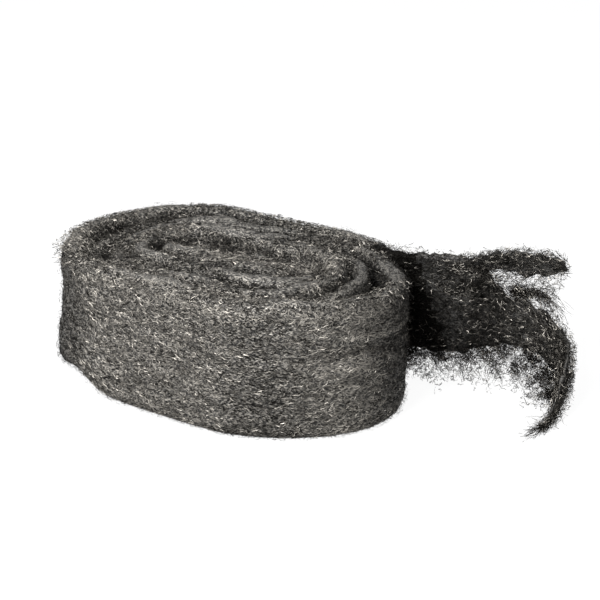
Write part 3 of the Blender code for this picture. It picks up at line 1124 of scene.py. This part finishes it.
class Zones:
    """How many fibres each kind of place on the roll's surface has, as a weight for every cell."""

    def __init__(self, surface):
        wound = surface.strip.wound[:, None]
        below_top = surface.strip.upper[:, None] - surface.heights
        above_sole = surface.heights - surface.strip.lower[:, None]
        rolled = wound <= TURNS
        last_turn = wound > TURNS - 1
        front = last_turn & outer_columns()
        rims = rolled & (below_top < RIM_DEPTH)
        pockets = rolled & (below_top >= RIM_DEPTH) & (below_top < POCKET_DEPTH) & ~front
        soles = rolled & (above_sole < SOLE_HEIGHT)
        self.outside = (rolled & front & (below_top > TOP_EDGE)).astype(float)
        self.inside = rims + POCKET_SHARE * pockets
        self.loose = ~rolled * np.ones_like(below_top)
        self.soles = soles.astype(float)
        self.fuzzy = self.outside + RIM_FUZZ * rims + LOOSE_FUZZ * self.loose + SOLE_FUZZ * soles * last_turn
        self.near_top = smooth(1 - (below_top - TOP_EDGE) / NEAR_TOP) * rolled * ~front


def tone_tilts(roll, zones, rng):
    """How much lighter than usual the fibres are in each cell of the roll's surface: random patches, with
    painted light and shade on the front, the fold, the crest and the top.
    """
    edge, shade = fold(roll.strip, roll.heights)
    edge_tilt, shade_tilt = FOLD_TILTS
    # Painted highlight on the fold's edge and painted shade under it, with the front's painted bands and
    # crest
    front = edge_tilt * edge - shade_tilt * shade + front_shade(roll.strip, roll.heights)
    top = top_shade(roll.points[..., :2]) + TOP_TILT
    return roll.uneven(rng, *PATCHES) + front * outer_columns() + top * zones.near_top


def add_rolled_fibres(roll, web, zones, tilts, rng):
    for name in ("fibres_outside_a", "fibres_outside_b"):
        laid_fibres(name, roll, rng, OUTSIDE_COUNT, zones.outside, tilts, ROLL_TONES)
    laid_fibres("fibres_rims", roll, rng, RIMS_COUNT, zones.inside, tilts, ROLL_TONES, spread=44.0)
    add_web_fibres(web, rng, WEB_COUNT)


def add_loose_end_fibres(roll, strip, tuft_strip, zones, tilts, rng):
    way = strip.wound - TURNS
    near_roll = np.clip((NEAR_ROLL_END - way) / NEAR_ROLL_FADE, 0.0, 1.0) * (way > 0)
    further_out = (1 - near_roll) * (way > 0) * (1 + 2 * way)
    into_shade = shaded_way(roll.heights) - roll.strip.wound[:, None] + TURNS
    in_shade = np.clip(1.0 + into_shade / SHADE_FADE, 0.0, 1.0) * ~outer_columns()
    # Painted shade on the loose end's side that faces the roll: darker laid fibres there, and near-black
    # fibres all through its part near the roll
    laid_fibres("fibres_loose_end", roll, rng, LOOSE_SKIN_COUNT, zones.loose,
                tilts + LOOSE_SKIN_TILT - SHADE_TILT * in_shade, LOOSE_SKIN_TONES)
    loose_fibres("loose_end_painted_shade", strip, rng, LOOSE_PAINTED_SHADE_COUNT, near_roll, LOOSE_PAINTED_SHADE_TONES,
                 sides=(-0.6, 0.0), skew=1.7)
    loose_fibres("loose_end_back", strip, rng, LOOSE_BACK_COUNT, near_roll, LOOSE_TONES,
                 sides=(0.1, 0.6))
    loose_fibres("loose_end", strip, rng, LOOSE_END_COUNT, further_out, LOOSE_TONES)
    loose_fibres("upper_tuft", tuft_strip, rng, UPPER_TUFT_COUNT, np.ones(len(tuft_strip.wound)),
                 LOOSE_TONES, skew=0.6)


def main():
    bpy.context.scene.view_settings.view_transform = "Standard"
    add_floor()
    add_camera()
    add_lights()

    rng = np.random.default_rng(7)
    loose_end = loose_strip(TAIL_ARCS + LOWER_TUFT_ARCS, TAIL_SHAPE)
    main_strip = rolled_strip().evenly(RING_STEP).joined(loose_end.evenly(RING_STEP))
    tuft_strip = loose_strip(TAIL_ARCS + UPPER_TUFT_ARCS, UPPER_TUFT_SHAPE).evenly(RING_STEP)
    place = find_place((main_strip, tuft_strip))
    for strip in (main_strip, tuft_strip):
        strip.middle += place
    fine_strip, fine_tuft = main_strip.evenly(FINE_STEP), tuft_strip.evenly(FINE_STEP)

    roll = Surface(held_back(main_strip, rng, LOWER_INSET, LOWER_INSET_SHARE, NOTCH_DEPTH), rng)
    start, further = TUFT_INSET_WAYS
    inset = mix(*TUFT_INSETS, smooth((tuft_strip.wound - TURNS - start) / further))
    tuft = Surface(held_back(tuft_strip, rng, inset, TUFT_INSET_SHARE, 0.0), rng)
    add_mats(roll, tuft)

    add_steels()
    zones = Zones(roll)
    tilts = tone_tilts(roll, zones, rng)
    add_rolled_fibres(roll, Web(main_strip.evenly(WEB_CELL / 2)), zones, tilts, rng)
    add_loose_end_fibres(roll, fine_strip, fine_tuft, zones, tilts, rng)
    add_notch_net(fine_strip, fine_tuft, rng)
    add_notch_strand(fine_strip, rng)
    laid_fibres("fibres_soles", roll, rng, SOLES_COUNT, zones.soles, tilts, ROLL_TONES)
    laid_fibres("fuzz_laid", roll, rng, FUZZ_COUNT, zones.fuzzy, tilts, ROLL_TONES, segments=2,
                step=0.0014, spread=34.0, bend=50.0, lift=(0.0004, 0.0026), sway=0.0007,
                width=(0.00012, 0.00024))
    add_fuzz(roll, rng, FUZZ_COUNT, zones.fuzzy, tilts)
    add_gap_fibres(fine_strip, rng)
    add_fringe(fine_strip, rng)
    add_tip_wisps(main_strip, rng)


main()
